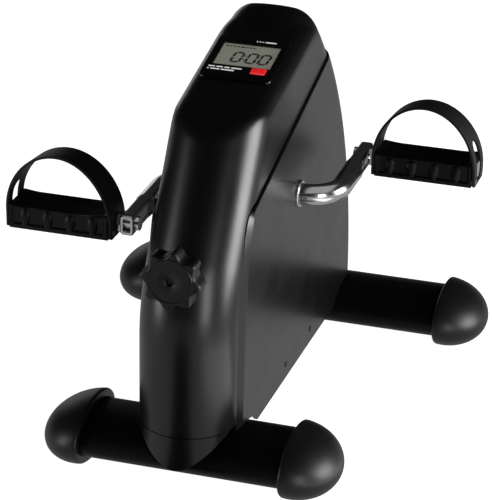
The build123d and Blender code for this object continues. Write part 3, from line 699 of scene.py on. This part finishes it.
# Half of the crank: a round section carried along a straight, a bend and the arm, then pressed flat into
# a lug. The section is a superellipse, |x/a|^n + |z/b|^n = 1, whose a, b and n change along the way. Both
# flat faces have a long shallow pocket with round ends, and the arm's end is open like a tube.
def crankGrid(side):
    c = crank
    bendLength = c["bend"] * math.pi / 2
    straight = c["armX"] - c["bend"]
    end = c["throw"] + c["lugHalfZ"]
    q = np.radians(np.linspace(0, 90, c["edgeSteps"]))
    s = np.r_[np.linspace(0, straight, c["straightSteps"], endpoint=False),
              np.linspace(straight, straight + bendLength, c["bendSteps"])]
    turn = np.clip((s - straight) / bendLength, 0, 1) * math.pi / 2
    px = np.minimum(s, straight) + c["bend"] * np.sin(turn)
    bendV = c["bend"] * (1 - np.cos(turn))
    armV = np.r_[np.linspace(c["bend"] + 1, end - c["edge"], c["armSteps"], endpoint=False),
                 end - c["edge"] * (1 - np.sin(q)), end, end - c["openDeep"], end - c["openDeep"]]
    inset = np.r_[np.zeros(len(s) + c["armSteps"]), c["edge"] * (1 - np.cos(q)), c["tubeWall"],
                  c["tubeWall"], c["tubeR"] * 2]
    turn = np.r_[turn, np.full(len(armV), math.pi / 2)]
    px = np.r_[px, np.full(len(armV), c["armX"])]
    v = np.r_[bendV, armV]
    press = np.clip((v - c["flatStart"]) / (c["flatFull"] - c["flatStart"]), 0, 1)
    press = press * press * (3 - 2 * press)
    a = np.maximum(c["tubeR"] + (c["lugHalfX"] - c["tubeR"]) * press - inset, 0)
    b = np.maximum(c["tubeR"] + (c["lugHalfZ"] - c["tubeR"]) * press - inset, 0)
    n = 2 + c["square"] * press
    theta = np.linspace(0, 2 * math.pi, c["around"])
    ct, st = np.cos(theta)[None], np.sin(theta)[None]
    power = (2 / n)[:, None]
    across = a[:, None] * np.sign(ct) * np.abs(ct) ** power
    height = b[:, None] * np.sign(st) * np.abs(st) ** power
    along = v[:, None] - c["pocketFrom"] - c["pocketHalf"]
    middle = np.clip(along, 0, c["pocketTo"] - c["pocketFrom"] - 2 * c["pocketHalf"])
    away = np.hypot(along - middle, height)
    sunk = np.clip((c["pocketHalf"] - away) / c["pocketSlope"], 0, 1)
    pocket = sunk * c["pocketDeep"] * (inset[:, None] < 0.1)
    across = across - np.where(np.abs(ct) > 0.2, np.sign(ct) * pocket, 0)
    x = px[:, None] + across * np.sin(turn)[:, None]
    w = v[:, None] - across * np.cos(turn)[:, None]
    tilt = math.radians(c["tilt"])
    w, x = w * side, x * side
    y = crankY + w * math.cos(tilt) - height * math.sin(tilt)
    z = crankZ + w * math.sin(tilt) + height * math.cos(tilt)
    return np.stack([x, y, z], -1)


makePiece("crankTube", [crankGrid(-1), crankGrid(1)], "crank", "brightChrome", ["crank_tube"],
          crease=32)
print("crank made")


# Rings (reach along X, radius) turned about an axle
def turned(rings, centre, count=65):
    rings = np.array(rings, float)
    theta = np.linspace(0, 2 * math.pi, count)
    x = np.broadcast_to(rings[:, :1], (len(rings), count))
    y = centre[0] + rings[:, 1:2] * np.cos(theta)
    z = centre[1] + rings[:, 1:2] * np.sin(theta)
    return np.stack([x, y, z], -1)


bush = {"flange": 11.6, "thick": 2.2, "round": 0.8, "bore": 9.06, "tailR": 10.2, "tail": 4.0, "chamfer": 0.5}


# From inside the panel out: the tail in the wall, then a flange with a rounded edge, and back along the bore
def bushGrid(side):
    b, face = bush, panel["outerX"]
    out, tail = face + b["thick"], face - b["tail"]
    rings = [(tail, b["bore"]), (tail, b["tailR"]), (face, b["tailR"]), (face, b["flange"])]
    rings += [(out - b["round"] + b["round"] * math.sin(t), b["flange"] - b["round"] * (1 - math.cos(t)))
              for t in np.radians(np.linspace(0, 90, 6))]
    rings += [(out, b["bore"] + b["chamfer"]), (out - b["chamfer"], b["bore"]), (tail, b["bore"])]
    return turned([(side * reach, radius) for reach, radius in rings], (crankY, crankZ))


for sideName, side in (("left", -1), ("right", 1)):
    makePiece(f"{sideName}AxleBush", [bushGrid(side)], "base", "brightChrome", [f"{sideName}_axle_bush"])

pedalShape = {
    "halfX": 42.4, "halfY": 18.0, "low": -12.0, "high": 10.0, "dip": 3.5, "corner": 2.2,
    "ribPitch": 4.4, "ribHigh": 0.45, "plainY": 2.5, "plainX": 3.0,     # the ribs stop short of the edges
    "recess": 1.5, "lipZ": 3.2, "lipX": 2.2, "lipSlope": 1.2, "recessZ": 1.0,
    "bumpX": (-29.25, -9.75, 9.75, 29.25), "bumpHalfX": 4.6, "bumpHalfZ": 7.0, "bumpHigh": 2.3, "bumpZ": 0.2,
    "proudest": 0.8, "flatSteps": 84, "sideSteps": 44, "longSteps": 190,
}


# A rounded rectangle carried along X. The top sinks in a parabola and carries long ribs; the front and
# back are sunk inside a lip and swell into four ovals: height times the root of 1 - (dx/a)^2 - (dz/b)^2.
def pedalGrid(middle, axleY, axleZ):
    p = pedalShape
    halfZ = (p["high"] - p["low"]) / 2
    centreZ = (p["high"] + p["low"]) / 2
    r = p["corner"]
    flats, sides = p["flatSteps"], p["sideSteps"]
    cornerY, cornerZ = p["halfY"] - r, halfZ - r
    flatY, flatZ = np.linspace(-cornerY, cornerY, flats), np.linspace(-cornerZ, cornerZ, sides)
    arc = np.radians(np.linspace(0, 90, 7))[1:-1]
    rs, rc = r * np.sin(arc), r * np.cos(arc)
    y = np.r_[flatY, cornerY + rs, np.full(sides, p["halfY"]), cornerY + rc,
              flatY[::-1], -cornerY - rs, np.full(sides, -p["halfY"]), -cornerY - rc, flatY[:1]]
    z = np.r_[np.full(flats, halfZ), cornerZ + rc, flatZ[::-1], -cornerZ - rs,
              np.full(flats, -halfZ), -cornerZ - rc, flatZ, cornerZ + rs, [halfZ]]
    onTop = np.clip((z - cornerZ) / r, 0, 1)[None]
    dx = np.r_[-p["halfX"], np.linspace(-p["halfX"], p["halfX"], p["longSteps"]), p["halfX"]][:, None]
    size = np.r_[0, np.ones(p["longSteps"]), 0][:, None]
    fall = p["dip"] * (1 - (dx / p["halfX"]) ** 2)
    inner = (np.clip(p["halfY"] - p["plainY"] - np.abs(y), 0, 1)[None]
             * np.clip(p["halfX"] - p["plainX"] - np.abs(dx), 0, 1))
    ribs = p["ribHigh"] * (np.cos(2 * math.pi * y / p["ribPitch"])[None] - 1) * inner
    zz = z[None] + onTop * (ribs - fall)
    zRel = z[None] - p["recessZ"]
    onFace = (np.abs(y) > p["halfY"] - 0.01)[None] * 1.0
    window = (np.clip((halfZ - p["lipZ"] - np.abs(zRel)) / p["lipSlope"], 0, 1)
              * np.clip((p["halfX"] - p["lipX"] - np.abs(dx)) / p["lipSlope"], 0, 1))
    swell = 0.0
    for bumpX in p["bumpX"]:
        room = 1 - ((dx - bumpX) / p["bumpHalfX"]) ** 2 - ((z[None] - p["bumpZ"]) / p["bumpHalfZ"]) ** 2
        swell = swell + p["bumpHigh"] * np.sqrt(np.clip(room, 0, 1))
    depth = p["recess"] * window - np.minimum(swell, p["recess"] + p["proudest"])
    yy = y[None] - np.sign(y)[None] * onFace * depth
    x = np.broadcast_to(middle + dx, yy.shape)
    return np.stack([x, axleY + yy * size, axleZ + centreZ + zz * size], -1)


strap = {
    "a": 45.6, "b": 55.0, "forward": 6.0, "thick": 2.2, "halfEnd": 17.0, "halfTop": 16.5, "lean": 2.0,
    "legLow": -12.0, "legTop": 1.0, "trim": 4.0, "slotHalf": 7.6, "slotLow": -9.0, "slotHigh": 27.0,
    "legSteps": 60, "archSteps": 320, "acrossSteps": 9,
}


# Half a strap, in front of or behind its slot: up one leg, over half an ellipse, down the other leg.
# Across, w runs from the slot's edge (or the middle where there is no slot) to the band's edge. Only the
# leg away from the crank has a slot.
def strapGrid(middle, axleY, axleZ, half, side):
    t = strap
    a, b = t["a"] - t["thick"] / 2, t["b"] - t["thick"] / 2
    legs = np.linspace(t["legLow"], t["legTop"], t["legSteps"], endpoint=False)
    arch = np.linspace(0, math.pi, t["archSteps"])
    x = np.r_[np.full(t["legSteps"], -a), -a * np.cos(arch), np.full(t["legSteps"], a)]
    z = np.r_[legs, t["legTop"] + b * np.sin(arch), legs[::-1]]
    top = np.clip((z - t["legTop"]) / b, 0, 1)
    width = t["halfEnd"] + (t["halfTop"] - t["halfEnd"]) * top
    beyond = np.maximum(np.maximum(t["slotLow"] + t["slotHalf"] - z, z - t["slotHigh"] + t["slotHalf"]), 0)
    slot = np.sqrt(np.maximum(t["slotHalf"] ** 2 - beyond**2, 0)) * (x * side > 0)
    trim = np.clip((t["legLow"] + t["trim"] - z) / t["trim"], 0, 1)
    width = width - t["trim"] * (1 - np.sqrt(1 - trim**2))
    w = np.linspace(0, 1, t["acrossSteps"])[None]
    y = half * (slot[:, None] + (width - slot)[:, None] * w)
    zz = z[:, None] - t["lean"] * top[:, None] * y / t["halfTop"]
    y = y - t["forward"] * np.sin(top * math.pi / 2)[:, None]
    x = np.broadcast_to(middle + x[:, None], y.shape)
    return np.stack([x, axleY + y, axleZ + zz], -1)


for sideName, side in (("left", -1), ("right", 1)):
    low, high = (np.array(corner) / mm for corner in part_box(f"{sideName}_pedal_body"))
    middleX, axleY, axleZ = (low[0] + high[0]) / 2, (low[1] + high[1]) / 2, low[2] - pedalShape["low"]
    makePiece(f"{sideName}PedalBody", [pedalGrid(middleX, axleY, axleZ)], f"{sideName}_pedal", "blackNylon",
              [f"{sideName}_pedal_body"], crease=30)
    halves = [strapGrid(middleX, axleY, axleZ, half, side) for half in (-1, 1)]
    makePiece(f"{sideName}Strap", halves, f"{sideName}_pedal", "softBlackPvc", [f"{sideName}_strap"],
              wall=strap["thick"], bevel=0.4, merge=0.05, wallOffset=0.0)
print("pedals made")

knob = {
    "front": -212.5, "z": 194.0, "radius": 25.0, "valley": 20.3, "thick": 17.0, "edge": 2.2,
    "lobes": 8, "lobeTurn": 0.9, "lobePower": 1.3, "around": 257,
    "ringOut": 18.6, "ringIn": 17.4, "ringDeep": -0.7, "ringSlope": 0.4, "plainR": 11.0,
    "cupR": 3.6, "cupDeep": 3.0, "cupEdge": 0.5, "cupFlare": 0.6, "backR": 14.0, "neckR": 8.0, "neck": 17.5,
}


# Rings (depth behind the front face, radius, share of the lobes) joined into one skin: a cup in the
# middle, a raised ring round it, the lobed rim and the neck behind. The lobed radius is the valley plus
# the lobe height times ((1 + cos(n theta)) / 2) to a power, so lobes are narrower than valleys.
def knobGrid():
    k = knob
    e = k["edge"]
    backEdge, neckEnd = k["thick"] - e, k["thick"] + k["neck"]
    rings = [(k["cupDeep"], 0, 0), (k["cupDeep"], k["cupR"], 0), (k["cupEdge"], k["cupR"], 0),
             (0, k["cupR"] + k["cupFlare"], 0), (0, k["plainR"], 0), (0, k["ringIn"] - k["ringSlope"], 0),
             (k["ringDeep"], k["ringIn"], 0), (k["ringDeep"], k["ringOut"], 0),
             (0, k["ringOut"] + k["ringSlope"], 0.05)]
    rings += [(e * (1 - math.sin(t)), k["radius"] - e * (1 - math.cos(t)), 1.0)
              for t in np.radians([90, 67, 45, 22, 0])]
    rings += [(k["thick"] / 2, k["radius"], 1.0), (backEdge, k["radius"], 1.0)]
    rings += [(backEdge + e * math.sin(t), k["radius"] - e * (1 - math.cos(t)), 1.0)
              for t in np.radians([30, 60, 90])]
    rings += [(k["thick"], k["backR"], 0), (k["thick"], k["neckR"] + 1, 0), (k["thick"] + 1, k["neckR"], 0),
              (neckEnd, k["neckR"], 0), (neckEnd, 0, 0)]
    rings = np.array(rings)
    theta = np.linspace(0, 2 * math.pi, k["around"])
    lobe = ((1 + np.cos(k["lobes"] * theta + k["lobeTurn"])) / 2) ** k["lobePower"]
    shrink = (k["radius"] - k["valley"]) * (1 - lobe)
    radius = rings[:, 1:2] - rings[:, 2:3] * shrink[None]
    y = np.broadcast_to(k["front"] + rings[:, :1], radius.shape)
    return np.stack([radius * np.cos(theta), y, k["z"] + radius * np.sin(theta)], -1)


makePiece("starKnob", [knobGrid()], "knob", "blackPolypropylene", ["tension_knob"],
          crease=40)
print("knob made")

console = {"halfU": 30.0, "halfV": 32.0, "proud": 1.8, "corner": 4.0, "edge": 1.4, "sunk": -0.4,
           "windowV": 4.6, "windowHalfU": 24.5, "windowHalfV": 17.2, "windowCorner": 1.0, "windowLow": 0.1}
slopeAngle = math.radians(housing["faceSlope"])
consoleZ = housing["faceZ"] + housing["consoleY"] * math.tan(slopeAngle)
faceOrigin = np.array([0, housing["consoleY"], consoleZ])
faceV = np.array([0, math.cos(slopeAngle), math.sin(slopeAngle)])
faceUp = np.array([0, -math.sin(slopeAngle), math.cos(slopeAngle)])


# Points given along the face (u to the right, v up the slope) and above it
def onFace(u, v, height):
    u, v, height = np.broadcast_arrays(u, v, height)
    across = u[..., None] * np.array([1.0, 0, 0])
    return faceOrigin + across + v[..., None] * faceV + height[..., None] * faceUp


# A rounded rectangle's outline: the corner arcs follow each other round
def roundedOutline(halfU, halfV, radius, steps=9):
    turn = np.radians(np.concatenate([np.linspace(q, q + 90, steps) for q in (0, 90, 180, 270)] + [[0]]))
    su = np.concatenate([np.full(steps, s) for s in (1, -1, -1, 1)] + [[1]])
    sv = np.concatenate([np.full(steps, s) for s in (1, 1, -1, -1)] + [[1]])
    return su * (halfU - radius) + radius * np.cos(turn), sv * (halfV - radius) + radius * np.sin(turn)


# Stacked outlines (grown by, height) joined into a skin, about a centre on the face
def stackedGrid(centreU, centreV, halfU, halfV, radius, levels):
    rows = []
    for grow, height in levels:
        u, v = roundedOutline(halfU + grow, halfV + grow, max(radius + grow, 0.05))
        rows.append(onFace(centreU + u, centreV + v, height))
    return rows


# The bezel's rounded edge, its flat, and a chamfer and wall going down to the window
def bezelGrid():
    c = console
    e = c["edge"]
    levels = [(-e * 0.2, c["sunk"])]
    levels += [(-e * (1 - math.cos(t)), c["proud"] - e + e * math.sin(t))
               for t in np.radians([0, 25, 50, 70, 90])]
    rows = stackedGrid(0, 0, c["halfU"], c["halfV"], c["corner"], levels)
    for grow, height in ((0.5, c["proud"]), (0.0, c["proud"] - 0.4), (0.0, c["windowLow"])):
        u, v = roundedOutline(c["windowHalfU"] + grow, c["windowHalfV"] + grow, c["windowCorner"] + grow)
        rows.append(onFace(u, c["windowV"] + v, height))
    return np.array(rows)


makePiece("consoleBezel", [bezelGrid()], "base", "glossBlackAbs", [], crease=30)


# A small flat plate with a rounded outline, closed to a point in the middle above and below
def plateGrid(centreU, centreV, halfU, halfV, radius, low, high):
    rows = stackedGrid(centreU, centreV, halfU, halfV, radius, [(0, low), (0, high)])
    hub = [onFace(centreU + 0 * rows[0][:, 0], centreV + 0 * rows[0][:, 0], h) for h in (low, high)]
    return np.array([hub[0], rows[0], rows[1], hub[1]])


ink = {"low": -0.12, "high": 0.1}   # heights of the marks on the display, about the face
digit = {
    "halfU": 3.6, "halfV": 7.0, "thick": 0.95, "lean": 0.12, "left": -7.6, "pitch": 10.8, "colonRoom": 1.5,
    "centreV": 2.6, "corner": 0.4, "gapU": 0.9, "gapV": 0.7,
    "colonU": 6.1, "colonV": 2.6, "colonHalfU": 0.6, "colonHalfV": 0.7, "colonCorner": 0.3,
}


# Three zeros of six bars each, a colon after the first, all leaning: u grows with the height in the digit.
def digitGrids():
    d = digit
    plates = []
    for place in range(3):
        u = d["left"] + place * d["pitch"] + (d["colonRoom"] if place else 0)
        for sign in (-1, 1):
            plates.append((u, d["centreV"] + sign * d["halfV"], d["halfU"] - d["gapU"], d["thick"],
                           d["corner"]))
            for end in (-1, 1):
                plates.append((u + sign * d["halfU"], d["centreV"] + end * d["halfV"] / 2, d["thick"],
                               d["halfV"] / 2 - d["gapV"], d["corner"]))
    for sign in (-1, 1):
        plates.append((d["left"] + d["colonU"], d["centreV"] + sign * d["colonV"], d["colonHalfU"],
                       d["colonHalfV"], d["colonCorner"]))
    grids = [plateGrid(*plate, ink["low"], ink["high"]) for plate in plates]
    for grid in grids:
        grid[..., 0] += d["lean"] * ((grid - faceOrigin) @ faceV - d["centreV"])
    return grids


makePiece("displayDigits", digitGrids(), "base", "displayInk", [])

# Plain dashes in place of words: left u, v, gap, and the lengths of the dashes that follow each other
printed = {"halfV": 0.85, "low": -0.02, "high": 0.06, "corner": 0.3}
marks = {
    "aboveWindow": (2.0, 26.0, 1.3, (1.2, 1.2, 1.2, 9.5)),
    "belowFirst": (-26.0, -17.0, 1.3, (5.5, 5.5, 4.4, 9.0)),
    "belowSecond": (-26.0, -20.6, 1.3, (1.4, 7.6, 11.0)),
}
shown = {"halfV": 0.9, "corner": 0.3, "row": (-21.5, 18.0, 1.5, (1.6, 1.6, 1.6, 1.6, 3.4, 1.4, 1.4, 1.4))}


def dashGrids(row, halfV, corner, low, high):
    u, v, gap, lengths = row
    grids = []
    for length in lengths:
        grids.append(plateGrid(u + length / 2, v, length / 2, halfV, corner, low, high))
        u += length + gap
    return grids


def markGrids():
    low, high = (console["proud"] + printed[end] for end in ("low", "high"))
    rows = [dashGrids(row, printed["halfV"], printed["corner"], low, high) for row in marks.values()]
    return sum(rows, [])


makePiece("printedMarks", markGrids(), "base", "whitePrint", [])
shownMarks = dashGrids(shown["row"], shown["halfV"], shown["corner"], ink["low"], ink["high"])
makePiece("displayMarks", shownMarks, "base", "displayInk", [])

button = {"u": 16.5, "v": -18.2, "halfU": 6.5, "halfV": 4.5, "corner": 1.6, "low": -2.4, "top": 2.8,
          "round": 1.4, "crown": 0.15}


# Straight sides, a rounded rim, and a slightly crowned top closed to a point
def buttonGrid():
    b = button
    r = b["round"]
    levels = [(0, b["low"]), (0, b["top"] - r)]
    levels += [(-r * (1 - math.cos(t)), b["top"] - r + r * math.sin(t)) for t in np.radians([30, 60, 90])]
    rows = stackedGrid(b["u"], b["v"], b["halfU"], b["halfV"], b["corner"], levels)
    same = 0 * rows[0][:, 0]
    ends = [onFace(b["u"] + same, b["v"] + same, height) for height in (b["low"], b["top"] + b["crown"])]
    return np.array([ends[0]] + rows + [ends[1]])


makePiece("redButton", [buttonGrid()], "button", "redSilicone", ["mode_button"], crease=50)
print("console made")
